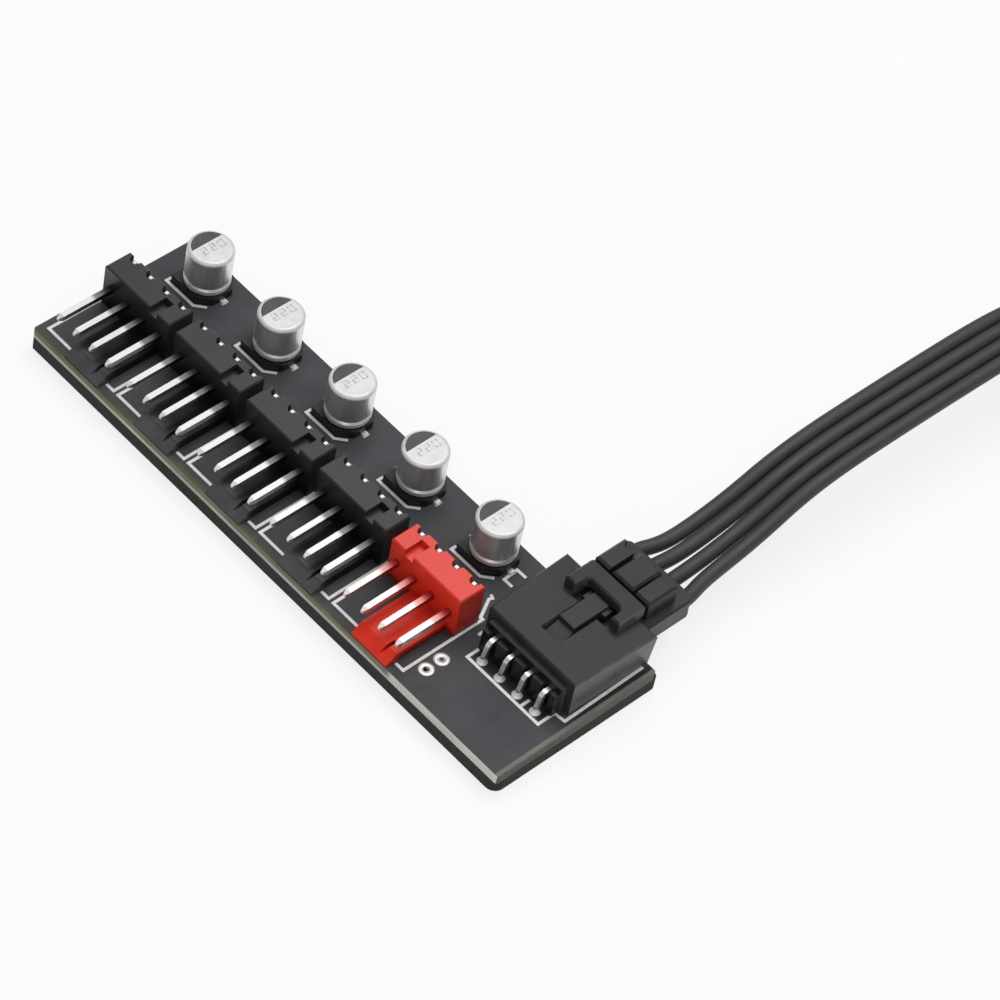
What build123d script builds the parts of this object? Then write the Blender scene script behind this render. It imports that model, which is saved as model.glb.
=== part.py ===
from build123d import *
import os
from math import atan, cos, degrees, pi, radians, sin, sqrt, tan

# Millimetres. X runs along the board, Y from the port edge to the lead's edge, Z up from the floor.
# Heights named here are above the board's top face unless said otherwise.

# Board and the pad under it
board_width = 21.4
board_thickness = 1.2
board_corner_radius = 0.3
pad_thickness = 1.7
pad_overhang = 0.6
pad_left_radius = 0.3
pad_front_radius = 1.2
pad_rear_radius = 0.6
drill_diameter = 1.0
via_diameter = 0.6
via_inset_x = 13.84
via_inset_y = 3.19
tail_below_board = 0.9
pocket_margin = 1.2
pocket_clearance = 0.05

# Square pins, shared by the fan ports and the power socket
pin_pitch = 2.54
pin_size = 0.64
pin_tip_size = 0.3
pin_tip_length = 0.55
ways = 4

# Fan ports
port_count = 5
port_gap = 1.0
first_port_inset = 6.17
wall_setback = 8.0
wall_margin = 1.19
wall_depth = 3.3
wall_height = 5.45
wall_edge = 0.14
tongue_width = 5.1
tongue_length = 7.9
tongue_thickness = 1.15
tongue_bevel = 1.3
tongue_nose = 0.2
tongue_slot_width = 0.4
tongue_slot_length = 2.3
tongue_slot_depth = 0.7
groove_width = 1.2
groove_depth = 0.8
groove_length = 2.25
groove_after_pin = [3, 3, 3, 3, 1]
rear_slot_width = 1.2
rear_slot_depth = 0.9
tooth_edge = 0.22
pin_height = 2.85
pin_reach = 7.0
upright_inset = 0.06
upright_top = 5.1
upright_edge = 0.14

# Capacitors
can_diameter = 5.0
can_top = 5.85
can_top_radius = 0.4
can_bottom_radius = 0.3
crimp_rise = 0.65
crimp_width = 0.6
crimp_depth = 0.2
cap_base_size = 5.15
cap_base_height = 0.95
cap_base_corner = 1.3
cap_shift = -0.43
cap_setback = 3.17
lead_width = 0.65
lead_thickness = 0.2
lead_reach = 3.0
lead_gap = 1.4

# Power socket
socket_gap = 1.58
socket_end_margin = 0.95
socket_overhang = 0.05
socket_depth = 10.85
socket_side_wall = 1.1
socket_flare = 0.4
socket_height = 4.6
socket_edge = 0.18
rear_wall = 1.6
cavity_width = 10.0
cavity_height = 2.85
cavity_floor = 0.95
ledge_height = 3.65
ledge_reach = 0.8
tooth_height = 3.0
tooth_reach = 1.5
rear_block_width = 10.4
tail_slot_width = 1.2
latch_slot_width = 2.7
latch_slot_setback = 8.5
window_setback = 3.45
bridge_width = 7.65
bridge_leg = 1.25
bridge_setback = 3.0
bridge_overhang = 0.75
bridge_bar_depth = 2.05
bridge_top = 5.95
bridge_bar_bottom = 4.75
bridge_edge = 0.2
bridge_corner_radius = 0.35
bridge_inner_radius = 0.85
power_pin_size = 0.5
power_pin_end = 2.6
power_bend_setback = 1.7
power_tail_setback = 2.3
power_bend_radius = 0.45
power_foot_radius = 1.0

# Power plug
plug_clearance = 0.2
plug_nose_gap = 0.5
plug_tail = 7.1
plug_edge = 0.2
plug_corner_radius = 0.9
guard_gap = 0.35
guard_length = 4.0
guard_edge = 0.25
scoop_radius = 0.95
scoop_inset = 1.3
lever_gap = 0.35
lever_pad_width = 3.0
lever_width = 2.1
lever_ramp_rise = 0.35
lever_root = 2.2
lever_tab_width = 0.55
lever_tab_length = 1.1
lever_tab_height = 0.7
head_front_setback = 6.3
head_rear_setback = 1.5
head_lap = 0.25
neck_clearance = 0.2
cell_size = 1.9

# Crimp terminals
sleeve_size = 1.7
sleeve_bore = 0.84
plug_sleeve_length = 8.6
connector_sleeve_length = 6.2
barrel_diameter = 1.4
barrel_length = 2.6

# Flat lead of four wires. Points of its middle line: x and y from the socket's mouth, z above the
# floor, twist, then how far the inner and the outer pair of wires lie from that line.
wire_diameter = 1.65
wire_spacing = 1.75
flat_spacing = 1.68
wire_turn_room = 0.45
flat = (flat_spacing / 2, flat_spacing * 3 / 2)
ribbon = (wire_spacing / 2, wire_spacing * 3 / 2)
at_pins = (pin_pitch / 2, pin_pitch * 3 / 2)
near_route = [
    (0.0, 10.3, 5.3, 0, 1.34, 3.03),
    (0.0, 14.7, 5.6, 0, 0.9, 2.58),
    (0.0, 19.3, 6.55, 0, *flat),
    (0.0, 24.05, 8.0, 0, *flat),
    (0.0, 29.3, 8.8, 0, *flat),
    (0.0, 37.0, 9.1, 0, *flat),
    (0.0, 47.0, 9.28, 0, *flat),
    (0.0, 56.75, 9.36, 0, *flat),
    (0.1, 63.75, 7.7, 30, *ribbon),
    (0.35, 70.25, 5.5, 60, *ribbon),
    (0.5, 76.25, 4.05, 90, *ribbon),
    (0.5, 82.15, 4.05, 90, *ribbon),
]
wire_start = 5.1
wire_straight = 2.6

# Coil of the lead, wound on edge as a double spiral so that both ends leave on the outside
coil_shift_x = 13.8
coil_shift_y = 89.25
coil_rise = 0.6
coil_inner_radius = 10.0
layer_pitch = 1.85
near_wind = 5.6
far_wind = near_wind + pi / 2
near_seat = 7.1
far_seat = 5.2
tie_thickness = 0.5
tie_width = 3.2
tie_angle = 20.0
tie_slack = 0.06

# Run from the coil to the far connector: x and y from the coil's middle, then as above
far_route = [
    (-5.2, 14.22, 4.05, 90, *ribbon),
    (-11.2, 14.22, 4.05, 90, *ribbon),
    (-17.4, 14.45, 3.4, 60, *ribbon),
    (-23.6, 14.85, 2.45, 30, *ribbon),
    (-29.1, 15.0, 1.6, 0, 0.98, 2.92),
    (-34.3, 15.0, 2.45, 0, *at_pins),
    (-39.5, 15.0, 2.45, 0, *at_pins),
]

# Far connector
connector_length = 13.0
connector_width = 10.3
connector_height = 4.9
connector_edge = 0.25
connector_entry = 4.0
rib_width = 1.0
rib_height = 0.8
rib_length = 8.0
lance_width = 1.3
lance_length = 2.4
lance_setback = 4.2

board_top = pad_thickness + board_thickness
wall_width = (ways - 1) * pin_pitch + 2 * wall_margin
port_pitch = wall_width + port_gap
socket_rear_width = cavity_width + 2 * socket_side_wall
socket_mouth_width = socket_rear_width + 2 * socket_flare
socket_inset = socket_mouth_width / 2 + socket_end_margin
port_to_socket = (wall_width + socket_rear_width) / 2 + socket_gap
board_length = first_port_inset + (port_count - 1) * port_pitch + port_to_socket + socket_inset
half_length = board_length / 2
half_width = board_width / 2
wall_front_y = -half_width + wall_setback
wall_back_y = wall_front_y + wall_depth
upright_back_y = wall_back_y - upright_inset
upright_y = upright_back_y - pin_size / 2
socket_x = half_length - socket_inset
mouth_y = half_width + socket_overhang
socket_rear_y = mouth_y - socket_depth
cavity_top = cavity_floor + cavity_height
power_pin_height = cavity_floor + cavity_height / 2
plug_bottom = cavity_floor + plug_clearance
plug_top = cavity_top - plug_clearance
plug_width = cavity_width - 2 * plug_clearance
plug_nose_y = socket_rear_y + rear_wall + plug_nose_gap
plug_rear_y = mouth_y + plug_tail
power_tail_y = socket_rear_y - power_tail_setback
coil_x = socket_x + coil_shift_x
coil_y = mouth_y + coil_shift_y
ribbon_height = (ways - 1) * wire_spacing + wire_diameter
left = (Align.MIN, Align.CENTER, Align.MIN)
centred = (Align.CENTER, Align.CENTER, Align.MIN)
forward = (Align.CENTER, Align.MIN, Align.MIN)
backward = (Align.CENTER, Align.MAX, Align.MIN)


def port_x(port):
    return -half_length + first_port_inset + port * port_pitch


def way_offset(way):
    return (way - (ways - 1) / 2) * pin_pitch


def port_pin_spots():
    return [(port_x(port) + way_offset(way), upright_y) for port in range(port_count) for way in range(ways)]


def power_pin_spots():
    return [(socket_x + way_offset(way), power_tail_y) for way in range(ways)]


def via_spot():
    return half_length - via_inset_x, -half_width + via_inset_y


def pad_pocket(x, y):
    span = (ways - 1) * pin_pitch + 2 * pocket_margin
    depth = tail_below_board + pocket_clearance
    return Pos(x, y, pad_thickness - depth) * extrude(SlotOverall(span, 2 * pocket_margin), depth)


def adhesive_pad():
    pad = Box(board_length, board_width + pad_overhang, pad_thickness, align=centred)
    pad = Pos(0, pad_overhang / 2, 0) * pad
    pad = fillet(pad.edges().filter_by(Axis.Z).sort_by(Axis.X)[:2], pad_left_radius)
    ends = pad.edges().filter_by(Axis.Z).sort_by(Axis.X)[-2:].sort_by(Axis.Y)
    pad = fillet(ends[0], pad_front_radius)
    ends = pad.edges().filter_by(Axis.Z).sort_by(Axis.X)[-2:].sort_by(Axis.Y)
    pad = fillet(ends[-1], pad_rear_radius)
    for port in range(port_count):
        pad -= pad_pocket(port_x(port), upright_y)
    return pad - pad_pocket(socket_x, power_tail_y)


def circuit_board():
    board = extrude(RectangleRounded(board_length, board_width, board_corner_radius), board_thickness)
    drill = Cylinder(drill_diameter / 2, board_thickness, align=centred)
    for x, y in port_pin_spots() + power_pin_spots():
        board -= Pos(x, y, 0) * drill
    board -= Pos(*via_spot(), 0) * Cylinder(via_diameter / 2, board_thickness, align=centred)
    return Pos(0, 0, pad_thickness) * board


def rear_slot():
    radius = rear_slot_width / 2
    opening = Box(rear_slot_width, rear_slot_depth - radius, wall_height, align=backward)
    end = Pos(0, radius - rear_slot_depth, 0) * Cylinder(radius, wall_height, align=centred)
    mouth = Polygon(
        (-radius - tooth_edge, 0),
        (radius + tooth_edge, 0),
        (radius, -tooth_edge),
        (-radius, -tooth_edge),
        align=None,
    )
    return opening + end + extrude(mouth, wall_height)


def port_tongue():
    side = Polygon(
        (0, 0),
        (-tongue_length, 0),
        (-tongue_length, tongue_nose),
        (tongue_bevel - tongue_length, tongue_thickness),
        (0, tongue_thickness),
        align=None,
    )
    tongue = extrude(Plane.YZ * side, tongue_width / 2, both=True)
    tongue -= Pos(pin_pitch / 2, -tongue_length, tongue_thickness - tongue_slot_depth) * Box(
        tongue_slot_width, tongue_slot_length, tongue_slot_depth, align=forward
    )
    return Pos(pin_pitch / 2, 0, 0) * tongue


def port_housing(port):
    wall = Box(wall_width, wall_depth, wall_height, align=forward)
    wall = chamfer(wall.faces().sort_by(Axis.Z)[-1].edges(), wall_edge)
    body = wall + port_tongue()
    for way in range(ways):
        body -= Pos(way_offset(way), wall_depth, 0) * rear_slot()
        body -= Pos(way_offset(way), 0, pin_height - pin_size / 2) * Box(
            pin_size, wall_depth, pin_size, align=forward
        )
    groove_x = way_offset(groove_after_pin[port]) - pin_pitch / 2
    body -= Pos(groove_x, 0, wall_height - groove_depth) * Box(
        groove_width, groove_length, groove_depth, align=forward
    )
    return Pos(port_x(port), wall_front_y, board_top) * body


def pin_tip():
    slope = degrees(atan((pin_size - pin_tip_size) / 2 / pin_tip_length))
    section = Plane((0, 0, pin_size / 2), x_dir=(1, 0, 0), z_dir=(0, -1, 0)) * Rectangle(pin_size, pin_size)
    return extrude(section, pin_tip_length, taper=slope)


def port_pin(port, way):
    reach = upright_back_y - wall_front_y + pin_reach - pin_tip_length
    bar = Box(pin_size, reach, pin_size, align=backward) + Pos(0, -reach, 0) * pin_tip()
    foot = -board_thickness - tail_below_board - pin_height + pin_size / 2
    height = upright_top - pin_height + pin_size / 2 - foot
    upright = Pos(0, 0, foot) * Box(pin_size, pin_size, height, align=backward)
    upright = chamfer(upright.faces().sort_by(Axis.Z)[-1].edges(), upright_edge)
    level = board_top + pin_height - pin_size / 2
    return Pos(port_x(port) + way_offset(way), upright_back_y, level) * (bar + upright)


def capacitor_spot(port):
    return Pos(port_x(port) + cap_shift, half_width - cap_setback, board_top)


def capacitor_can(port):
    radius = can_diameter / 2
    neck = radius - crimp_depth
    low = cap_base_height + crimp_rise
    high = low + crimp_width
    slope = crimp_width / 3
    outline = Polyline(
        (0, can_top),
        (0, cap_base_height),
        (radius, cap_base_height),
        (radius, low),
        (neck, low + slope),
        (neck, high - slope),
        (radius, high),
        (radius, can_top),
        (0, can_top),
    )
    can = revolve(make_face(Plane.XZ * outline), Axis.Z)
    can = fillet(can.edges().filter_by(GeomType.CIRCLE).group_by(Axis.Z)[-1], can_top_radius)
    can = fillet(can.edges().filter_by(GeomType.CIRCLE).group_by(Axis.Z)[0], can_bottom_radius)
    return capacitor_spot(port) * can


def capacitor_base(port):
    base = Box(cap_base_size, cap_base_size, cap_base_height, align=centred)
    corners = base.edges().filter_by(Axis.Z).sort_by(Axis.X)[-2:]
    base = chamfer(corners, cap_base_corner)
    base -= Box(cap_base_size, lead_width, lead_thickness, align=centred)
    return capacitor_spot(port) * base


def capacitor_leads(port):
    length = lead_reach - lead_gap / 2
    lead = Pos(lead_gap / 2, 0, 0) * Box(length, lead_width, lead_thickness, align=left)
    return [capacitor_spot(port) * lead, capacitor_spot(port) * Rot(0, 0, 180) * lead]


def socket_shell():
    rear = socket_rear_width / 2
    mouth = socket_mouth_width / 2
    foot = Polygon((-rear, -socket_depth), (rear, -socket_depth), (rear, 0), (-rear, 0), align=None)
    roof = Polygon((-rear, -socket_depth), (rear, -socket_depth), (mouth, 0), (-mouth, 0), align=None)
    shell = loft([foot.face(), (Pos(0, 0, socket_height) * roof).face()], ruled=True)
    return chamfer(shell.faces().sort_by(Axis.Z)[-1].edges(), socket_edge)


def socket_bridge():
    length = bridge_setback + bridge_overhang
    inner = bridge_width - 2 * bridge_leg
    middle = (Align.CENTER, Align.MIN)
    frame = Rectangle(bridge_width, length, align=middle)
    frame = fillet(frame.vertices().group_by(Axis.Y)[-1], bridge_corner_radius)
    window = Rectangle(inner, length - bridge_bar_depth, align=middle)
    window = fillet(window.vertices().group_by(Axis.Y)[-1], bridge_inner_radius)
    block = extrude(frame - window, bridge_top - socket_height)
    block = chamfer(block.faces().sort_by(Axis.Z)[-1].edges(), bridge_edge)
    under = bridge_bar_bottom - socket_height
    block -= Box(inner, length, under, align=forward)
    block -= Pos(0, bridge_setback, 0) * Box(bridge_width, bridge_overhang, under, align=forward)
    return Pos(0, -bridge_setback, socket_height) * block


def socket_rear_block():
    ledge = Box(rear_block_width, ledge_reach, ledge_height, align=backward)
    teeth = Box(rear_block_width, tooth_reach, tooth_height, align=backward)
    for way in range(ways):
        teeth -= Pos(way_offset(way), -ledge_reach, 0) * Box(
            tail_slot_width, tooth_reach - ledge_reach, tooth_height, align=backward
        )
    return Pos(0, -socket_depth, 0) * (ledge + teeth)


def power_socket_housing():
    body = socket_shell() + socket_bridge() + socket_rear_block()
    cavity_depth = socket_depth - rear_wall
    body -= Pos(0, 0, cavity_floor) * Box(cavity_width, cavity_depth, cavity_height, align=backward)
    roof = socket_height - cavity_top
    body -= Pos(0, 0, cavity_top) * Box(latch_slot_width, latch_slot_setback, roof, align=backward)
    body -= Pos(0, 0, cavity_top) * Box(bridge_width - 2 * bridge_leg, window_setback, roof, align=backward)
    depth = socket_depth + ledge_reach
    for way in range(ways):
        body -= Pos(way_offset(way), -depth, power_pin_height - power_pin_size / 2) * Box(
            power_pin_size, ledge_reach + rear_wall, power_pin_size, align=forward
        )
    return Pos(socket_x, mouth_y, board_top) * body


def power_socket_pin(way):
    x = socket_x + way_offset(way)
    level = board_top + power_pin_height
    tip_y = mouth_y - power_pin_end
    path = FilletPolyline(
        (x, tip_y, level),
        (x, socket_rear_y - power_bend_setback, level),
        (x, power_tail_y, board_top),
        (x, power_tail_y, pad_thickness - tail_below_board),
        radius=[power_bend_radius, power_foot_radius],
    )
    section = Rectangle(power_pin_size, power_pin_size)
    return sweep(Plane((x, tip_y, level), x_dir=(1, 0, 0), z_dir=(0, -1, 0)) * section, path=path)


def lever_profile():
    nose = plug_nose_y - mouth_y
    under = plug_top + lever_gap
    neck = bridge_bar_bottom - neck_clearance
    pad_front = bridge_overhang + guard_gap
    pad_rear = pad_front + guard_length
    head_top = bridge_bar_bottom + head_lap
    return [
        (nose, plug_top),
        (nose + lever_root, plug_top),
        (nose + lever_root, under),
        (pad_rear, under),
        (pad_rear, bridge_top),
        (pad_front, bridge_top),
        (pad_front, neck),
        (-head_rear_setback, neck),
        (-head_rear_setback, head_top),
        (-head_front_setback, head_top),
        (-head_front_setback, under + lever_ramp_rise),
    ]


def plug_lever():
    side = Plane.YZ * Polygon(*lever_profile(), align=None)
    pad_front = bridge_overhang + guard_gap
    under = plug_top + lever_gap
    pad = Pos(0, pad_front, under) * Box(lever_pad_width, guard_length, bridge_top - under, align=forward)
    pad = chamfer(pad.faces().sort_by(Axis.Z)[-1].edges(), guard_edge)
    pocket = Pos(0, pad_front, 0) * Box(lever_pad_width, guard_length, bridge_top, align=forward)
    tabs = Box(lever_width + 2 * lever_tab_width, lever_tab_length, lever_tab_height, align=backward)
    tabs = Pos(0, -head_rear_setback, under) * tabs
    return extrude(side, lever_width / 2, both=True) - pocket + pad + tabs


def plug_guards():
    pad_front = bridge_overhang + guard_gap
    height = bridge_top - plug_top
    block = Box(bridge_width, guard_length, height, align=forward)
    block = chamfer(block.faces().sort_by(Axis.Z)[-1].edges(), guard_edge)
    block -= Box(lever_pad_width + 2 * guard_gap, guard_length, height, align=forward)
    for side in (-1, 1):
        block -= Pos(side * (bridge_width / 2 - scoop_inset), guard_length, 0) * Cylinder(
            scoop_radius, height, align=centred
        )
    return Pos(0, pad_front, plug_top) * block


def power_plug_housing():
    length = plug_rear_y - plug_nose_y
    body = Pos(0, plug_tail, plug_bottom) * Box(plug_width, length, plug_top - plug_bottom, align=backward)
    body = fillet(body.edges().filter_by(Axis.Z).group_by(Axis.Y)[-1], plug_corner_radius)
    body = chamfer(body.faces().sort_by(Axis.Z)[-1].edges().group_by(Axis.Y)[-1], plug_edge)
    body += plug_guards() + plug_lever()
    axis = power_pin_height - cell_size / 2
    for way in range(ways):
        body -= Pos(way_offset(way), plug_tail, axis) * Box(cell_size, length, cell_size, align=backward)
    return Pos(socket_x, mouth_y, board_top) * body


def terminal(sleeve_length):
    behind = (Align.CENTER, Align.MAX, Align.CENTER)
    sleeve = Box(sleeve_size, sleeve_length, sleeve_size, align=behind)
    sleeve -= Box(sleeve_bore, sleeve_length, sleeve_bore, align=behind)
    return sleeve + Rot(-90, 0, 0) * Cylinder(barrel_diameter / 2, barrel_length, align=centred)


def side_vector(heading, twist):
    level = cos(radians(twist))
    return heading[0] * level, heading[1] * level, sin(radians(twist))


def wire_points(route, start, across, way):
    points = []
    for x, y, z, twist, inner, outer in route:
        dx, dy, dz = side_vector(across, twist)
        shift = (-outer, -inner, inner, outer)[way]
        points.append((start[0] + x + dx * shift, start[1] + y + dy * shift, z + dz * shift))
    return points


def near_points(way):
    axis = board_top + power_pin_height
    entry = [
        (0.0, wire_start, axis, 0, *at_pins),
        (0.0, wire_start + wire_straight, axis, 0, *at_pins),
    ]
    return wire_points(entry + near_route, (socket_x, mouth_y), (1, 0), way)


def far_points(way):
    return wire_points(far_route, (coil_x, coil_y), (0, 1), way)


def wire_tube(points):
    corners = [Vector(*point) for point in points]
    radii = []
    for before, corner, after in zip(corners, corners[1:], corners[2:]):
        run = min((corner - before).length, (after - corner).length)
        turn = radians((corner - before).get_angle(after - corner))
        radii.append(wire_turn_room * run / tan(turn / 2))
    print("smallest bend of the wire in diameters:", round(min(radii) / wire_diameter, 1))
    path = FilletPolyline(*corners, radius=radii)
    section = Plane(corners[0], z_dir=corners[1] - corners[0]) * Circle(wire_diameter / 2)
    return sweep(section, path=path)


def near_wire(way):
    return wire_tube(near_points(way))


def far_wire(way):
    return wire_tube(far_points(way))


def cable_coil():
    half_wire = wire_diameter / 2
    outer = coil_inner_radius + layer_pitch * far_wind / pi + half_wire
    inner = coil_inner_radius - half_wire
    coil = Cylinder(outer, ribbon_height, align=centred) - Cylinder(inner, ribbon_height, align=centred)
    fold = coil_inner_radius / 2
    bend = Cylinder(fold + half_wire, ribbon_height, align=centred)
    bend -= Cylinder(fold - half_wire, ribbon_height, align=centred)
    bend -= Box(4 * fold, 2 * fold, ribbon_height, align=forward)
    half = Pos(fold, 0, 0) * bend
    fold_angle = degrees(pi - near_wind)
    coil += Rot(0, 0, fold_angle) * (half + Rot(0, 0, 180) * half)
    near_clear = coil_inner_radius + layer_pitch * near_wind / pi - half_wire
    near_room = Box(outer, outer, ribbon_height, align=(Align.MAX, Align.MAX, Align.MIN))
    coil -= Pos(-near_clear, -near_seat, 0) * near_room
    far_clear = coil_inner_radius + layer_pitch * far_wind / pi - half_wire
    far_room = Box(outer, outer, ribbon_height, align=(Align.MAX, Align.MIN, Align.MIN))
    coil -= Pos(-far_seat, far_clear, 0) * far_room
    return Pos(coil_x, coil_y, coil_rise) * coil


def cable_tie():
    half_wire = wire_diameter / 2
    inner = sqrt((coil_inner_radius - half_wire) ** 2 - (tie_width / 2) ** 2) - tie_slack
    outer = coil_inner_radius + layer_pitch * far_wind / pi + half_wire + tie_slack
    width = outer - inner
    height = ribbon_height + 2 * tie_slack
    frame = Box(width + 2 * tie_thickness, tie_width, height + 2 * tie_thickness)
    frame -= Box(width, tie_width, height)
    angle = degrees(pi - near_wind) + tie_angle
    middle = Pos(coil_x, coil_y, coil_rise + ribbon_height / 2)
    return middle * Rot(0, 0, angle) * Pos((inner + outer) / 2, 0, 0) * frame


def connector_spot():
    x, y, z = far_route[-1][:3]
    return Pos(coil_x + x, coil_y + y, z) * Rot(0, 0, 90)


def far_connector_housing():
    ahead = (Align.CENTER, Align.MIN, Align.CENTER)
    body = Box(connector_width, connector_length, connector_height, align=ahead)
    body = chamfer(body.edges(), connector_edge)
    rib = Pos(0, connector_length, connector_height / 2 - connector_edge) * Box(
        rib_width, rib_length, rib_height + connector_edge, align=backward
    )
    rib = chamfer(rib.faces().sort_by(Axis.Z)[-1].edges(), connector_edge)
    for way in (1, 2):
        body += Pos(way_offset(way) * 2, -connector_edge, 0) * rib
    for way in range(ways):
        x = way_offset(way)
        body -= Pos(x, 0, 0) * Box(cell_size, connector_length, cell_size, align=ahead)
        body -= Pos(x, lance_setback, -connector_height / 2) * Box(
            lance_width, lance_length, connector_height / 2, align=forward
        )
    return connector_spot() * Pos(0, -connector_entry, 0) * body


def save(name, solids):
    export_step(Compound(label=name, children=solids), f"parts/{name}.step")


os.makedirs("parts", exist_ok=True)
save("adhesive_pad", [adhesive_pad()])
save("circuit_board", [circuit_board()])
for port in range(port_count):
    save(f"port_{port + 1}_housing", [port_housing(port)])
    for way in range(ways):
        save(f"port_{port + 1}_pin_{way + 1}", [port_pin(port, way)])
    save(f"capacitor_{port + 1}_can", [capacitor_can(port)])
    save(f"capacitor_{port + 1}_base", [capacitor_base(port)])
    save(f"capacitor_{port + 1}_leads", capacitor_leads(port))
save("power_socket_housing", [power_socket_housing()])
for way in range(ways):
    save(f"power_socket_pin_{way + 1}", [power_socket_pin(way)])
    save(f"lead_wire_{way + 1}", [near_wire(way)])
save("power_plug_housing", [power_plug_housing()])
plug_ends = [Pos(*near_points(way)[0]) for way in range(ways)]
plug_terminal = Pos(0, -barrel_length, 0) * terminal(plug_sleeve_length)
save("power_plug_terminals", [end * plug_terminal for end in plug_ends])
save("lead_far_wires", [far_wire(way) for way in range(ways)])
save("lead_coil", [cable_coil()])
save("lead_tie", [cable_tie()])
save("far_connector_housing", [far_connector_housing()])
far_ends = [Pos(*far_points(way)[-1]) for way in range(ways)]
far_terminal = Pos(-barrel_length, 0, 0) * Rot(0, 0, -90) * terminal(connector_sleeve_length)
save("far_connector_terminals", [end * far_terminal for end in far_ends])
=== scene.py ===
import bpy
from math import acos, cos, pi, radians, sin
from mathutils import Matrix, Vector


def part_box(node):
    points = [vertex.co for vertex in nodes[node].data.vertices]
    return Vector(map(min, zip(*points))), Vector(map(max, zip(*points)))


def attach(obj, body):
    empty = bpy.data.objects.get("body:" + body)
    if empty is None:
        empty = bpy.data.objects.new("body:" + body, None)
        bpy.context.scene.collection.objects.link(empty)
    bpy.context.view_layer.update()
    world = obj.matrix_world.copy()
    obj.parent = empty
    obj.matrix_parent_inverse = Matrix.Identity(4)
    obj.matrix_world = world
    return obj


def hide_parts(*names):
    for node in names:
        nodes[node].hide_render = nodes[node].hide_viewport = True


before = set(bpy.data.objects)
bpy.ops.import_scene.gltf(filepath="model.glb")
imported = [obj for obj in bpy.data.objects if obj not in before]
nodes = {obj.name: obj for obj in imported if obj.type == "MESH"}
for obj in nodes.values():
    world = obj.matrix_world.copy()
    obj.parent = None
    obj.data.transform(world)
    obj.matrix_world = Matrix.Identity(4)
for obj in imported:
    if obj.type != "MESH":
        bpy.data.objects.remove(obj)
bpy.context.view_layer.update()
scene = bpy.context.scene
scene.view_settings.view_transform = "Standard"

# The part's values, most of them from the frame: corners in metres, places in millimetres

MM = 0.001
PORTS = range(1, 6)
RED_PORT = 5
WAYS = range(1, 5)
MIDDLE_WAY = 2.5
BOARD_LOW, BOARD_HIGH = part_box("circuit_board")
CAN_LOW, CAN_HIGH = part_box("capacitor_1_can")
BOARD_TOP = BOARD_HIGH[2] / MM
CAN_TOP = CAN_HIGH[2] / MM


def middle_x(node):
    low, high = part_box(node)
    return (low[0] + high[0]) / 2 / MM


PORT_XS = [middle_x(f"port_{port}_housing") for port in PORTS]
CAN_SHIFT = 0.43
CAN_XS = [x - CAN_SHIFT for x in PORT_XS]
CAN_Y = 7.53


# Camera: places in metres, lens and sensor in millimetres

CAMERA_PLACE = Vector((0.19328, -0.22642, 0.35430))
CAMERA_AIM = Vector((0.00989, 0.01295, 0.00290))
CAMERA_ROLL = radians(12.80)
CAMERA_LENS = 165.97
CAMERA_SENSOR = 36.0


def add_camera():
    ahead = (CAMERA_AIM - CAMERA_PLACE).normalized()
    level = ahead.cross(Vector((0, 0, 1))).normalized()
    right = cos(CAMERA_ROLL) * level + sin(CAMERA_ROLL) * level.cross(ahead)
    up = right.cross(ahead)
    data = bpy.data.cameras.new("camera")
    data.lens = CAMERA_LENS
    data.sensor_width = CAMERA_SENSOR
    camera = bpy.data.objects.new("camera", data)
    scene.collection.objects.link(camera)
    turn = Matrix((right, up, -ahead)).transposed().to_4x4()
    camera.matrix_world = Matrix.Translation(CAMERA_PLACE) @ turn
    scene.camera = camera


# Shader nodes

DARKEST = 0.3
LIGHTEST = 0.7
BROAD_DETAIL = 6.0
LAYER_DETAIL = 5.0
PLAIN_DETAIL = 4.0
FINE_DETAIL = 3.0
GRAIN_DEPTH = 0.00001
DRAWN_ALONG_Y = (1.0, 0.15, 1.0)
DRAWN_ALONG_Z = (1.0, 1.0, 0.08)
LAYERED = (0.5, 0.5, 3.0)


def new_material(name):
    mat = bpy.data.materials.new(name)
    mat.use_nodes = True
    tree = mat.node_tree
    return mat, tree, tree.nodes["Principled BSDF"]


def add_node(tree, kind, **values):
    node = tree.nodes.new(kind)
    for key, value in values.items():
        if key in node.inputs:
            node.inputs[key].default_value = value
        else:
            setattr(node, key, value)
    return node


def noise(tree, scale, detail=PLAIN_DETAIL, stretch=None):
    where = add_node(tree, "ShaderNodeTexCoord")
    out = where.outputs["Object"]
    if stretch:
        mapping = add_node(tree, "ShaderNodeMapping", Scale=stretch)
        tree.links.new(out, mapping.inputs["Vector"])
        out = mapping.outputs["Vector"]
    texture = add_node(tree, "ShaderNodeTexNoise", Scale=scale, Detail=detail)
    tree.links.new(out, texture.inputs["Vector"])
    return texture.outputs["Fac"]


def ramp(tree, factor, first, second, start=DARKEST, end=LIGHTEST):
    node = tree.nodes.new("ShaderNodeValToRGB")
    stops = ((start, first), (end, second))
    for element, (at, colour) in zip(node.color_ramp.elements, stops):
        element.position = at
        element.color = (*colour, 1.0)
    tree.links.new(factor, node.inputs["Fac"])
    return node.outputs["Color"]


def remap(tree, value, start, end, low, high):
    node = add_node(tree, "ShaderNodeMapRange")
    node.inputs["From Min"].default_value = start
    node.inputs["From Max"].default_value = end
    node.inputs["To Min"].default_value = low
    node.inputs["To Max"].default_value = high
    tree.links.new(value, node.inputs["Value"])
    return node.outputs["Result"]


def spread(tree, factor, low, high):
    return remap(tree, factor, DARKEST, LIGHTEST, low, high)


def graded(tree, factor, low, high):
    return remap(tree, factor, 0.0, 1.0, low, high)


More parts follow.
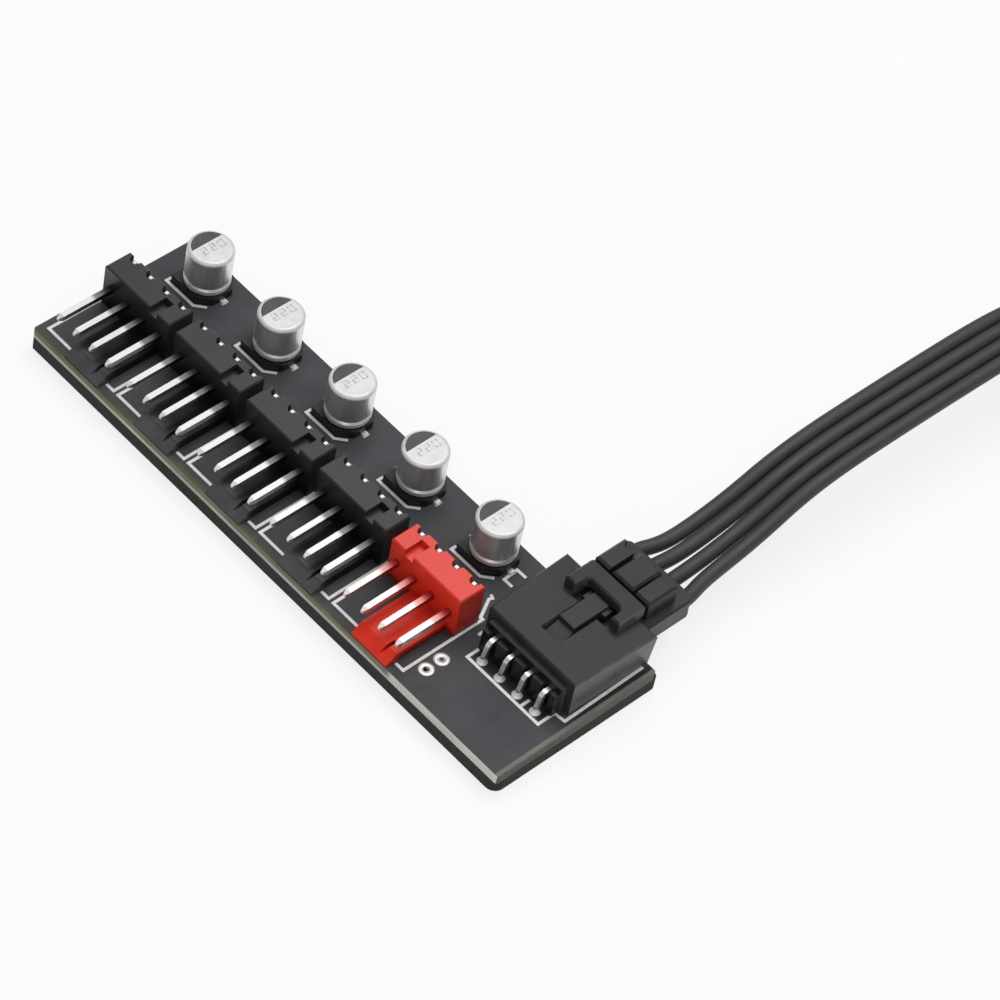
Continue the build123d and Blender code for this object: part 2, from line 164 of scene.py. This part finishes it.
def add_bump(tree, shader, factor, strength, depth=GRAIN_DEPTH):
    bump = add_node(tree, "ShaderNodeBump", Strength=strength, Distance=depth)
    tree.links.new(factor, bump.inputs["Height"])
    tree.links.new(bump.outputs["Normal"], shader.inputs["Normal"])


# A span is an axis and two ends, 0 at the first and 1 at the second:
# by place, in metres, or, as nX, by the face's normal

def along(tree, axis, start, end):
    parts = add_node(tree, "ShaderNodeSeparateXYZ")
    if axis.startswith("n"):
        where = add_node(tree, "ShaderNodeNewGeometry").outputs["Normal"]
    else:
        where = add_node(tree, "ShaderNodeTexCoord").outputs["Object"]
    tree.links.new(where, parts.inputs["Vector"])
    return remap(tree, parts.outputs[axis[-1]], start, end, 0.0, 1.0)


def combine(tree, operation, first, second):
    node = add_node(tree, "ShaderNodeMath", operation=operation)
    tree.links.new(first, node.inputs[0])
    tree.links.new(second, node.inputs[1])
    return node.outputs[0]


def within(tree, spans):
    part = along(tree, *spans[0])
    for span in spans[1:]:
        part = combine(tree, "MULTIPLY", part, along(tree, *span))
    return part


def scaled(tree, colour, level):
    node = add_node(tree, "ShaderNodeVectorMath", operation="SCALE")
    tree.links.new(colour, node.inputs[0])
    tree.links.new(level, node.inputs["Scale"])
    return node.outputs["Vector"]


def blend(tree, factor, first, second):
    mix = add_node(tree, "ShaderNodeMix", data_type="RGBA")
    factor_socket, first_socket, second_socket = mix.inputs[0], mix.inputs[6], mix.inputs[7]
    tree.links.new(factor, factor_socket)
    tree.links.new(first, first_socket)
    tree.links.new(second, second_socket)
    return mix.outputs[2]


# Materials

FACES_UP = ("nZ", 0.4, 0.6)
FACES_RIGHT = ("nX", 0.5, 0.7)
FACES_FRONT = ("nY", -0.5, -0.7)
PLAIN_GLOSS = 0.5
BOARD_GLOSS = 0.12


def surface(name, dark, light, rough, tone_scale, grain, bump, depth=GRAIN_DEPTH,
            metallic=0.0, stretch=None, shades=(), gloss=PLAIN_GLOSS):
    mat, tree, shader = new_material(name)
    shader.inputs["Specular IOR Level"].default_value = gloss
    shader.inputs["Metallic"].default_value = metallic
    tone = noise(tree, tone_scale, BROAD_DETAIL, stretch)
    colour = ramp(tree, tone, dark, light)
    for spans, share, sheen in shades:
        part = within(tree, spans)
        colour = scaled(tree, colour, graded(tree, part, 1.0, share))
        if sheen is not None:
            tree.links.new(graded(tree, part, gloss, sheen), shader.inputs["Specular IOR Level"])
    tree.links.new(colour, shader.inputs["Base Color"])
    tree.links.new(spread(tree, tone, *rough), shader.inputs["Roughness"])
    add_bump(tree, shader, noise(tree, grain, FINE_DETAIL, stretch), bump, depth)
    return mat


def board_face(tree, layers):
    right = BOARD_HIGH[0]
    front = BOARD_LOW[1]
    # Painted shadow: the mask is darker beside the socket's right side and under the socket's pins
    shadow_beside_socket = [("X", right - 0.0012, right - 0.0010), ("Y", -0.0030, 0.0010)]
    shadow_under_pins = [("X", 0.0226, 0.0230), ("X", 0.0330, 0.0326), ("Y", -0.0032, -0.0026)]
    front_rim = [("Y", front + 0.0009, front + 0.0002), ("X", 0.0196, 0.0180)]
    # Painted highlight: a lighter grey band along the right edge of the board's top
    right_rim_highlight = ("X", right - 0.00052, right - 0.00042)
    bare = ramp(tree, layers, (0.06, 0.06, 0.04), (0.11, 0.11, 0.075))
    rim_highlight = ramp(tree, layers, (0.13, 0.13, 0.12), (0.21, 0.21, 0.19))
    tone = noise(tree, scale=190.0, detail=BROAD_DETAIL)
    mask = ramp(tree, tone, (0.054, 0.056, 0.061), (0.076, 0.078, 0.084))
    mask = scaled(tree, mask, graded(tree, within(tree, shadow_beside_socket), 1.0, 0.35))
    mask = scaled(tree, mask, graded(tree, within(tree, shadow_under_pins), 1.0, 0.4))
    mask = blend(tree, within(tree, front_rim), mask, bare)
    return blend(tree, along(tree, *right_rim_highlight), mask, rim_highlight)


def board_edge(tree, layers):
    low_strip = ("Z", 0.00224, 0.00206)
    bright_end = [("X", 0.0191, 0.0198), FACES_FRONT]
    core = ramp(tree, layers, (0.12, 0.12, 0.07), (0.20, 0.20, 0.13))
    strip = ramp(tree, layers, (0.38, 0.38, 0.34), (0.52, 0.52, 0.47))
    skin = ramp(tree, layers, (0.52, 0.52, 0.48), (0.68, 0.68, 0.64))
    # Painted shade: faces of the edge turned to the right take this darker colour
    end = ramp(tree, layers, (0.060, 0.060, 0.050), (0.125, 0.125, 0.105))
    edge = blend(tree, along(tree, *low_strip), core, strip)
    edge = blend(tree, within(tree, bright_end), edge, skin)
    return blend(tree, along(tree, *FACES_RIGHT), edge, end)


def board_material():
    mat, tree, shader = new_material("board")
    shader.inputs["Specular IOR Level"].default_value = BOARD_GLOSS
    layers = noise(tree, scale=420.0, detail=LAYER_DETAIL, stretch=LAYERED)
    colour = blend(tree, along(tree, *FACES_UP), board_edge(tree, layers), board_face(tree, layers))
    tree.links.new(colour, shader.inputs["Base Color"])
    rough = spread(tree, noise(tree, scale=1400.0), low=0.42, high=0.55)
    tree.links.new(rough, shader.inputs["Roughness"])
    add_bump(tree, shader, noise(tree, scale=5200.0, detail=FINE_DETAIL), strength=0.12)
    return mat


def can_material():
    mat, tree, shader = new_material("can_metal")
    # Painted highlight: near the top rim and the bottom lip the can takes a pale, less metallic colour, so
    # these edges render bright
    low_lip = ("Z", CAN_LOW[2] + 0.00066, CAN_LOW[2] + 0.00056)
    top_end = ("Z", CAN_HIGH[2] - 0.00046, CAN_HIGH[2] - 0.0003)
    tone = noise(tree, scale=900.0, detail=BROAD_DETAIL, stretch=DRAWN_ALONG_Z)
    metal = ramp(tree, tone, (0.74, 0.74, 0.74), (0.86, 0.86, 0.85))
    rim_and_lip_highlight = ramp(tree, tone, (0.61, 0.61, 0.61), (0.72, 0.72, 0.71))
    part = combine(tree, "MAXIMUM", along(tree, *low_lip), along(tree, *top_end))
    tree.links.new(blend(tree, part, metal, rim_and_lip_highlight), shader.inputs["Base Color"])
    tree.links.new(graded(tree, part, 1.0, 0.2), shader.inputs["Metallic"])
    tree.links.new(spread(tree, tone, low=0.34, high=0.46), shader.inputs["Roughness"])
    add_bump(tree, shader, noise(tree, scale=9000.0, detail=FINE_DETAIL), strength=0.08)
    return mat


def port_pin_material(name, near, deep):
    mat, tree, shader = new_material(name)
    shader.inputs["Metallic"].default_value = 1.0
    # Painted reflection and shade: over the last few millimetres before the wall the pin takes the near and
    # then the deep colour, standing in for the housing wall mirrored in the pin and the shade by the wall
    by_wall = [("Y", -0.0053, -0.0048), ("Y", -0.0020, -0.0026)]
    towards_wall = ("Y", -0.0049, -0.0034)
    tone = noise(tree, scale=700.0, detail=BROAD_DETAIL, stretch=DRAWN_ALONG_Y)
    metal = ramp(tree, tone, (0.54, 0.53, 0.51), (0.64, 0.63, 0.61))
    painted_wall_reflection = ramp(tree, along(tree, *towards_wall), near, deep, 0.0, 1.0)
    tree.links.new(blend(tree, within(tree, by_wall), metal, painted_wall_reflection), shader.inputs["Base Color"])
    tree.links.new(spread(tree, tone, low=0.36, high=0.48), shader.inputs["Roughness"])
    grain = noise(tree, scale=9000.0, detail=FINE_DETAIL, stretch=DRAWN_ALONG_Y)
    add_bump(tree, shader, grain, strength=0.12)
    return mat


# Painted light and shade: where, share of the colour there, and gloss there if it differs

PORT_PAINTED_LIGHT_AND_SHADE = [
    # painted light: the tongue's low front tip is three times lighter
    ([("Y", -0.0088, -0.0096), ("Z", 0.0048, 0.0042)], 3.0, None),
    # painted shade: the lower walls and the tongue behind its tip are darker, with less gloss
    ([("Z", 0.0078, 0.0045), ("Y", -0.0096, -0.0078)], 0.4, 0.12),
]
RED_PORT_PAINTED_SHADE = [
    # painted shade: faces turned to the right are darker
    ([FACES_RIGHT], 0.62, None),
    # painted shadow: the low part of the tongue behind its front is darker
    ([("Z", 0.0038, 0.0033), ("Y", -0.0092, -0.0086)], 0.4, None),
    # painted shade: the lower walls are a little darker, with less gloss
    ([("Z", 0.0078, 0.0045)], 0.95, 0.2),
]
SOCKET_PAINTED_LIGHT_AND_SHADE = [
    # painted light: faces turned to the right are lighter
    ([FACES_RIGHT], 2.8, None),
    # painted shade: the toothed block at the pins is darker, with less gloss
    ([("Y", -0.0003, -0.0008)], 0.35, 0.15),
]

MATERIALS = {
    "board": board_material(),
    "foam": surface("foam", (0.010, 0.010, 0.009), (0.024, 0.024, 0.022), rough=(0.8, 0.95),
                    tone_scale=900.0, grain=7000.0, bump=0.6, depth=0.00004),
    "black": surface("black_plastic", (0.016, 0.017, 0.018), (0.026, 0.027, 0.029), rough=(0.28, 0.38),
                     tone_scale=240.0, grain=6000.0, bump=0.1, gloss=0.38, shades=PORT_PAINTED_LIGHT_AND_SHADE),
    "red": surface("red_plastic", (0.68, 0.030, 0.014), (0.78, 0.042, 0.022), rough=(0.3, 0.42),
                   tone_scale=240.0, grain=6000.0, bump=0.1, shades=RED_PORT_PAINTED_SHADE),
    "pin": surface("tinned_pin", (0.82, 0.81, 0.80), (0.93, 0.92, 0.91), rough=(0.3, 0.44),
                   tone_scale=700.0, grain=9000.0, bump=0.12, metallic=1.0, stretch=DRAWN_ALONG_Y),
    # Near and deep pin colours: painted reflections of the black and of the red housing wall
    "port_pin": port_pin_material("port_pin", (0.19, 0.19, 0.19), (0.08, 0.08, 0.08)),
    "red_port_pin": port_pin_material("red_port_pin", (0.52, 0.30, 0.28), (0.40, 0.07, 0.06)),
    "can": can_material(),
    "base": surface("capacitor_base", (0.006, 0.006, 0.007), (0.012, 0.012, 0.013), rough=(0.5, 0.65),
                    tone_scale=500.0, grain=7000.0, bump=0.2),
    "socket": surface("socket_plastic", (0.024, 0.025, 0.027), (0.036, 0.037, 0.040), rough=(0.26, 0.36),
                      tone_scale=300.0, grain=7000.0, bump=0.2, gloss=0.2, shades=SOCKET_PAINTED_LIGHT_AND_SHADE),
    "plug": surface("plug_plastic", (0.022, 0.023, 0.025), (0.034, 0.035, 0.038), rough=(0.3, 0.42),
                    tone_scale=300.0, grain=7000.0, bump=0.2, gloss=0.25),
    "wire": surface("wire_vinyl", (0.027, 0.029, 0.031), (0.038, 0.040, 0.043), rough=(0.5, 0.62),
                    tone_scale=400.0, grain=5000.0, bump=0.25),
    "tie": surface("tie_plastic", (0.03, 0.03, 0.032), (0.045, 0.045, 0.048), rough=(0.35, 0.5),
                   tone_scale=400.0, grain=6000.0, bump=0.2),
    "print": surface("board_print", (0.68, 0.68, 0.67), (0.86, 0.86, 0.85), rough=(0.5, 0.65),
                     tone_scale=2200.0, grain=9000.0, bump=0.1),
    "plate": surface("tin_plate", (0.66, 0.66, 0.64), (0.84, 0.83, 0.8), rough=(0.45, 0.6),
                     tone_scale=1500.0, grain=6000.0, bump=0.3, metallic=0.7),
    "solder": surface("solder", (0.74, 0.74, 0.73), (0.90, 0.90, 0.89), rough=(0.35, 0.5),
                      tone_scale=1500.0, grain=6000.0, bump=0.3, metallic=0.25),
    "mark": surface("can_mark", (0.035, 0.035, 0.037), (0.07, 0.07, 0.073), rough=(0.4, 0.55),
                    tone_scale=1200.0, grain=9000.0, bump=0.1),
    "digit": surface("can_digit", (0.44, 0.44, 0.44), (0.56, 0.56, 0.56), rough=(0.4, 0.55),
                     tone_scale=1800.0, grain=9000.0, bump=0.1, metallic=0.9),
}


def dress(name, material):
    mesh = nodes[name].data
    mesh.materials.clear()
    mesh.materials.append(MATERIALS[material])


def dress_nodes():
    dress("adhesive_pad", "foam")
    dress("circuit_board", "board")
    for port in PORTS:
        red = port == RED_PORT
        dress(f"port_{port}_housing", "red" if red else "black")
        dress(f"capacitor_{port}_can", "can")
        dress(f"capacitor_{port}_base", "base")
        dress(f"capacitor_{port}_leads", "pin")
        for way in WAYS:
            dress(f"port_{port}_pin_{way}", "red_port_pin" if red else "port_pin")
    dress("power_socket_housing", "socket")
    dress("power_plug_housing", "plug")
    dress("power_plug_terminals", "pin")
    dress("far_connector_housing", "plug")
    dress("far_connector_terminals", "pin")
    for way in WAYS:
        dress(f"power_socket_pin_{way}", "pin")


# Lead, in millimetres: the solids' points, moved a little near the plug and where the view ends
# A row is x and y from the socket's mouth or the coil's middle, z, the twist of the flat lead in degrees,
# and how far the inner and the outer wires lie from the lead's middle

WIRE = 1.65
SPACING = 1.75
FLAT_SPACING = 1.68
PITCH = 2.54
FLAT = (FLAT_SPACING / 2, FLAT_SPACING * 3 / 2)
RIBBON = (SPACING / 2, SPACING * 3 / 2)
AT_PINS = (PITCH / 2, PITCH * 3 / 2)
MOUTH = (27.7, 10.75)
COIL = (41.5, 100.0)
NEAR_ROUTE = [
    (0.0, 5.1, 5.275, 0, *AT_PINS),
    (0.0, 7.2, 5.275, 0, 1.21, 3.76),
    (0.15, 9.7, 5.275, 0, 1.03, 3.01),
    (0.12, 12.4, 5.35, 0, 0.97, 2.78),
    (0.1, 15.6, 5.75, 0, 0.93, 2.7),
    (0.08, 19.3, 6.55, 0, 0.87, 2.6),
    (0.0, 24.05, 8.0, 0, *FLAT),
    (0.0, 29.3, 8.8, 0, *FLAT),
    (0.1, 37.0, 9.1, 0, *FLAT),
    (0.28, 46.5, 9.28, 0, *FLAT),
    (0.45, 54.6, 9.33, 0, *FLAT),
    (0.6, 60.8, 8.95, 8, *FLAT),
    (0.7, 65.9, 7.8, 28, *RIBBON),
    (0.65, 70.9, 6.1, 55, *RIBBON),
    (0.5, 76.25, 4.5, 80, *RIBBON),
    (0.5, 82.15, 4.05, 90, *RIBBON),
]
FAR_ROUTE = [
    (-5.2, 14.22, 4.05, 90, *RIBBON),
    (-11.2, 14.22, 4.05, 90, *RIBBON),
    (-17.4, 14.45, 3.4, 60, *RIBBON),
    (-23.6, 14.85, 2.45, 30, *RIBBON),
    (-29.1, 15.0, 1.6, 0, 0.98, 2.92),
    (-34.3, 15.0, 2.45, 0, *AT_PINS),
    (-39.5, 15.0, 2.45, 0, *AT_PINS),
]
COIL_Z = 4.05
COIL_RADIUS = 10.0
LAYER = 1.85
NEAR_WIND = 5.6
FAR_WIND = NEAR_WIND + pi / 2
FIRST_ANGLE = pi - NEAR_WIND
TURN_STEPS = 16
FOLD_STEPS = 6
WIRE_FACETS = 5
WIRE_STEPS = 8


def laid(route, start, across, number):
    points = []
    for x, y, z, twist, inner, outer in route:
        shift = (-outer, -inner, inner, outer)[number - 1]
        level = cos(radians(twist)) * shift
        rise = sin(radians(twist)) * shift
        points.append((start[0] + x + across[0] * level, start[1] + y + across[1] * level, z + rise))
    return points


def coil_arm(wind, first_angle):
    points = []
    count = int(wind / (2 * pi) * TURN_STEPS)
    for i in range(count + 1):
        turn = wind * i / count
        radius = (COIL_RADIUS + LAYER * turn / pi) / cos(pi / TURN_STEPS)
        angle = first_angle + turn
        points.append((COIL[0] + radius * cos(angle), COIL[1] + radius * sin(angle)))
    return points


def coil_fold(first_angle):
    half = COIL_RADIUS / 2
    points = []
    for side, way in ((1, -1), (-1, 1)):
        for i in range(1, FOLD_STEPS):
            angle = way * pi * i / FOLD_STEPS
            x = side * half + half * cos(angle)
            y = half * sin(angle)
            points.append((COIL[0] + x * cos(first_angle) - y * sin(first_angle),
                           COIL[1] + x * sin(first_angle) + y * cos(first_angle)))
    return points


def wire_route(number):
    near_arm = coil_arm(NEAR_WIND, FIRST_ANGLE)[::-1]
    far_arm = coil_arm(FAR_WIND, FIRST_ANGLE + pi)
    height = COIL_Z + (number - MIDDLE_WAY) * SPACING
    coil = [(x, y, height) for x, y in near_arm + coil_fold(FIRST_ANGLE) + far_arm]
    return laid(NEAR_ROUTE, MOUTH, (1, 0), number) + coil + laid(FAR_ROUTE, COIL, (0, 1), number)


def wire_curve(number):
    points = wire_route(number)
    data = bpy.data.curves.new(f"wire_{number}", "CURVE")
    data.dimensions = "3D"
    data.bevel_depth = WIRE / 2 * MM
    data.bevel_resolution = WIRE_FACETS
    data.resolution_u = WIRE_STEPS
    data.use_fill_caps = True
    spline = data.splines.new("NURBS")
    spline.points.add(len(points) - 1)
    for point, at in zip(spline.points, points):
        point.co = (at[0] * MM, at[1] * MM, at[2] * MM, 1.0)
    spline.order_u = 3
    spline.use_endpoint_u = True
    data.materials.append(MATERIALS["wire"])
    return data


def add_wire(number):
    wire = bpy.data.objects.new(f"wire_{number}", wire_curve(number))
    scene.collection.objects.link(wire)
    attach(wire, "root")
    stands_for = [f"lead_wire_{number}"]
    if number == 1:
        stands_for += ["lead_coil", "lead_far_wires"]
    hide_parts(*stands_for)


# Mesh helpers, in millimetres

def add_piece(name, verts, faces, material):
    mesh = bpy.data.meshes.new(name)
    mesh.from_pydata([tuple(c * MM for c in v) for v in verts], [], faces)
    mesh.update()
    piece = bpy.data.objects.new(name, mesh)
    scene.collection.objects.link(piece)
    mesh.materials.append(MATERIALS[material])
    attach(piece, "root")
    return piece


def smooth_sides(piece):
    for polygon in piece.data.polygons:
        polygon.use_smooth = len(polygon.vertices) == 4


def prism(verts, faces, outline, low, high):
    start = len(verts)
    count = len(outline)
    verts += [(x, y, low) for x, y in outline]
    verts += [(x, y, high) for x, y in outline]
    faces.append(tuple(start + i for i in reversed(range(count))))
    faces.append(tuple(start + count + i for i in range(count)))
    for i in range(count):
        j = (i + 1) % count
        faces.append((start + i, start + j, start + count + j, start + count + i))


def borders(line, half):
    points = [Vector(point) for point in line]
    runs = [(b - a).normalized() for a, b in zip(points, points[1:])]
    pairs = []
    for i, point in enumerate(points):
        before = runs[max(i - 1, 0)]
        after = runs[min(i, len(runs) - 1)]
        across = Vector((-before.y - after.y, before.x + after.x)).normalized()
        across *= half / across.dot(Vector((-after.y, after.x)))
        pairs.append((point - across, point + across))
    return pairs


def stroke(verts, faces, line, width, low, high):
    pairs = borders(line, width / 2)
    for (right, left), (next_right, next_left) in zip(pairs, pairs[1:]):
        prism(verts, faces, [tuple(right), tuple(next_right), tuple(next_left), tuple(left)], low, high)


LATHE_STEPS = 24


def lathe(verts, faces, x, y, profile):
    start = len(verts)
    count = LATHE_STEPS
    angles = [2 * pi * i / count for i in range(count)]
    for radius, z in profile:
        verts += [(x + radius * cos(angle), y + radius * sin(angle), z) for angle in angles]
    for ring in range(len(profile) - 1):
        first = start + ring * count
        for i in range(count):
            j = (i + 1) % count
            faces.append((first + i, first + j, first + count + j, first + count + i))


# Tie: a band round the wires of the coil, at one angle of the coil

TIE_ANGLE = FIRST_ANGLE + radians(20.0)
TIE_THICKNESS = 0.5
TIE_HALF_WIDTH = 1.6
TIE_CORNER = 0.9
TIE_NEAR = 9.1
TIE_FAR = 12.95
TIE_LOW = 0.54
TIE_HIGH = 7.56
CORNER_STEPS = 6


def band_loop(grow):
    near, far = TIE_NEAR - grow, TIE_FAR + grow
    low, high = TIE_LOW - grow, TIE_HIGH + grow
    radius = TIE_CORNER + grow
    corners = [(far - radius, low + radius), (far - radius, high - radius),
               (near + radius, high - radius), (near + radius, low + radius)]
    points = []
    for quarter, (r, z) in enumerate(corners):
        for i in range(CORNER_STEPS + 1):
            angle = pi / 2 * (quarter - 1 + i / CORNER_STEPS)
            points.append((r + radius * cos(angle), z + radius * sin(angle)))
    return points


def add_tie():
    outer = band_loop(TIE_THICKNESS)
    inner = band_loop(0.0)
    out_x, out_y = cos(TIE_ANGLE), sin(TIE_ANGLE)
    verts, faces = [], []
    for loop in (outer, inner):
        for side in (-TIE_HALF_WIDTH, TIE_HALF_WIDTH):
            for r, z in loop:
                verts.append((COIL[0] + r * out_x - side * out_y, COIL[1] + r * out_y + side * out_x, z))
    count = len(inner)
    for first, second in ((0, 1), (1, 3), (3, 2), (2, 0)):
        for i in range(count):
            j = (i + 1) % count
            faces.append((first * count + i, second * count + i, second * count + j, first * count + j))
    tie = add_piece("coil_tie", verts, faces, "tie")
    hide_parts("lead_tie")
    return tie


# Printed lines: those of a port and a capacitor are from the port's and the can's middle

PRINT_LOW = BOARD_TOP - 0.005
PRINT_HIGH = BOARD_TOP + 0.02
SMALL_PRINT_HIGH = PRINT_HIGH + 0.006
LINE = 0.34
PORT_LINE = [(-1.5, -9.45), (-5.2, -9.45), (-5.2, 1.15), (5.1, 1.15), (5.1, -9.45), (4.0, -9.45)]
CAPACITOR_LINES = [
    [(-2.9, -2.2), (-2.9, -2.9), (1.35, -2.9), (2.4, -1.9)],
    [(0.6, 2.65), (-2.9, 2.65), (-2.9, 2.0)],
]
SOCKET_LINES = [
    [(22.63, -1.66), (22.63, -3.22), (32.83, -3.22), (32.83, -1.0), (34.15, -0.85), (33.95, 10.0)],
    [(30.2, -3.04), (30.2, -1.85)],
    [(21.05, 9.6), (21.3, -0.5)],
]
SMALL_LINES = [
    [(18.84, 6.33), (17.68, 6.31), (17.57, 8.21), (18.85, 8.23)],
    [(18.3, 3.95), (18.75, 3.75), (18.6, 3.4), (19.18, 2.32), (19.91, 0.98)],
]


def moved(line, x, y):
    return [(x + px, y + py) for px, py in line]


def add_print():
    verts, faces = [], []
    lines = list(SOCKET_LINES)
    for port_x, can_x in zip(PORT_XS, CAN_XS):
        lines.append(moved(PORT_LINE, port_x, 0.0))
        lines += [moved(line, can_x, CAN_Y) for line in CAPACITOR_LINES]
    for line in lines:
        stroke(verts, faces, line, LINE, PRINT_LOW, PRINT_HIGH)
    for line in SMALL_LINES:
        stroke(verts, faces, line, LINE, PRINT_LOW, SMALL_PRINT_HIGH)
    add_piece("board_print", verts, faces, "print")


# Plated rings and pads, and solder at the socket's pins: profiles are radius and height over the board,
# and a ring's inside is counted from its hole

RING_X = 21.34
RINGS = ((-7.51, 0.3), (-5.46, 0.22))
RING_INSIDE = [(0.0, -0.01), (0.02, 0.03)]
RING_OUTSIDE = [(0.6, 0.04), (0.83, 0.03), (0.85, -0.01)]
PAD_REACH = 2.85
PAD_HALF_WIDTH = 0.3
PAD_NEAR = 7.1
PAD_FAR = 7.96
PAD_LOW = BOARD_TOP - 0.005
PAD_HIGH = BOARD_TOP + 0.03
SOLDER_Y = -2.4
SOLDER_CONE = [(0.6, -0.01), (0.58, 0.04), (0.46, 0.14), (0.36, 0.35), (0.28, 0.6)]


def over_board(profile):
    return [(radius, BOARD_TOP + height) for radius, height in profile]


def add_plating():
    verts, faces = [], []
    for y, hole in RINGS:
        inside = [(hole + wider, height) for wider, height in RING_INSIDE]
        lathe(verts, faces, RING_X, y, over_board(inside + RING_OUTSIDE))
    for can_x in CAN_XS:
        for side in (-1, 1):
            left = can_x + side * PAD_REACH - PAD_HALF_WIDTH
            right = can_x + side * PAD_REACH + PAD_HALF_WIDTH
            pad = [(left, PAD_NEAR), (right, PAD_NEAR), (right, PAD_FAR), (left, PAD_FAR)]
            prism(verts, faces, pad, PAD_LOW, PAD_HIGH)
    smooth_sides(add_piece("plated_pads", verts, faces, "plate"))


def add_solder():
    verts, faces = [], []
    for way in WAYS:
        x = MOUTH[0] + (way - MIDDLE_WAY) * PITCH
        lathe(verts, faces, x, SOLDER_Y, over_board(SOLDER_CONE))
    smooth_sides(add_piece("pin_solder", verts, faces, "solder"))


# Marks on the cans: a dark segment, and plain digits drawn as strokes on a grid of one by two

MARK_CHORD = 0.72
MARK_RADIUS = 2.12
MARK_START = pi - acos(MARK_CHORD / MARK_RADIUS)
MARK_STEPS = 24
MARK_LOW = CAN_TOP - 0.01
MARK_HIGH = CAN_TOP + 0.012
DIGIT_HIGH = CAN_TOP + 0.01
DIGIT_LINE = 0.2
DIGIT_RISE = 0.42
DIGIT_WIDTH = 0.6
SEGMENTS = {
    "0": [((0, 0), (1, 0)), ((1, 0), (1, 2)), ((1, 2), (0, 2)), ((0, 2), (0, 0))],
    "2": [((0, 2), (1, 2)), ((1, 2), (1, 1)), ((1, 1), (0, 1)), ((0, 1), (0, 0)), ((0, 0), (1, 0))],
}
DIGITS = (("2", 0.05, -1.2), ("2", 0.05, -0.15), ("0", 0.15, 0.9))


def mark_outline(can_x):
    points = []
    for i in range(MARK_STEPS + 1):
        angle = MARK_START + (2 * pi - 2 * MARK_START) * i / MARK_STEPS
        points.append((can_x + MARK_RADIUS * cos(angle), CAN_Y + MARK_RADIUS * sin(angle)))
    return points


def digit_point(can_x, dx, dy, at):
    return (can_x + dx + (1 - at[1]) * DIGIT_RISE, CAN_Y + dy + at[0] * DIGIT_WIDTH)


def add_can_marks():
    dark_verts, dark_faces, ink_verts, ink_faces = [], [], [], []
    for can_x in CAN_XS:
        prism(dark_verts, dark_faces, mark_outline(can_x), MARK_LOW, MARK_HIGH)
        for digit, dx, dy in DIGITS:
            for ends in SEGMENTS[digit]:
                line = [digit_point(can_x, dx, dy, end) for end in ends]
                stroke(ink_verts, ink_faces, line, DIGIT_LINE, MARK_LOW, DIGIT_HIGH)
    add_piece("can_marks", dark_verts, dark_faces, "mark")
    add_piece("can_digits", ink_verts, ink_faces, "digit")


# Floor and light

FLOOR_REACH = 3.0
FLOOR_Z = -0.0002
FLOOR_PAINT = (0.86, 0.86, 0.86, 1.0)
WHITE = (1.0, 1.0, 1.0, 1.0)
FLOOR_GLOW_SHARE = 0.8
WORLD_LEVEL = 0.4


def floor_material():
    mat = bpy.data.materials.new("floor")
    mat.use_nodes = True
    tree = mat.node_tree
    tree.nodes.clear()
    out = add_node(tree, "ShaderNodeOutputMaterial")
    mix = add_node(tree, "ShaderNodeMixShader")
    paint = add_node(tree, "ShaderNodeBsdfDiffuse", Color=FLOOR_PAINT)
    glow = add_node(tree, "ShaderNodeEmission", Color=WHITE, Strength=1.0)
    rays = add_node(tree, "ShaderNodeLightPath")
    direct = combine(tree, "MAXIMUM", rays.outputs["Is Camera Ray"], rays.outputs["Is Glossy Ray"])
    tree.links.new(graded(tree, direct, 0.0, FLOOR_GLOW_SHARE), mix.inputs[0])
    tree.links.new(paint.outputs[0], mix.inputs[1])
    tree.links.new(glow.outputs[0], mix.inputs[2])
    tree.links.new(mix.outputs[0], out.inputs["Surface"])
    return mat


def add_floor():
    mesh = bpy.data.meshes.new("floor")
    corners = [(x * FLOOR_REACH, y * FLOOR_REACH, FLOOR_Z) for x, y in ((-1, -1), (1, -1), (1, 1), (-1, 1))]
    mesh.from_pydata(corners, [], [(0, 1, 2, 3)])
    mesh.materials.append(floor_material())
    floor = bpy.data.objects.new("floor", mesh)
    scene.collection.objects.link(floor)


def add_light(name, place, size, power):
    data = bpy.data.lights.new(name, "AREA")
    data.shape = "RECTANGLE"
    data.size = size[0]
    data.size_y = size[1]
    data.energy = power
    light = bpy.data.objects.new(name, data)
    scene.collection.objects.link(light)
    light.location = place
    light.rotation_euler = (-Vector(place)).to_track_quat("-Z", "Y").to_euler()


def add_world():
    world = bpy.data.worlds.new("studio")
    scene.world = world
    world.use_nodes = True
    shade = world.node_tree.nodes["Background"]
    shade.inputs["Color"].default_value = WHITE
    shade.inputs["Strength"].default_value = WORLD_LEVEL


add_camera()
dress_nodes()
coil_tie = add_tie()
for wire_number in WAYS:
    add_wire(wire_number)
add_print()
add_plating()
add_solder()
add_can_marks()
add_floor()
add_world()
add_light("overhead", place=(-0.05, 0.25, 0.75), size=(0.7, 0.5), power=4.2)
add_light("front_fill", place=(0.35, -0.55, 0.35), size=(0.4, 0.3), power=0.8)
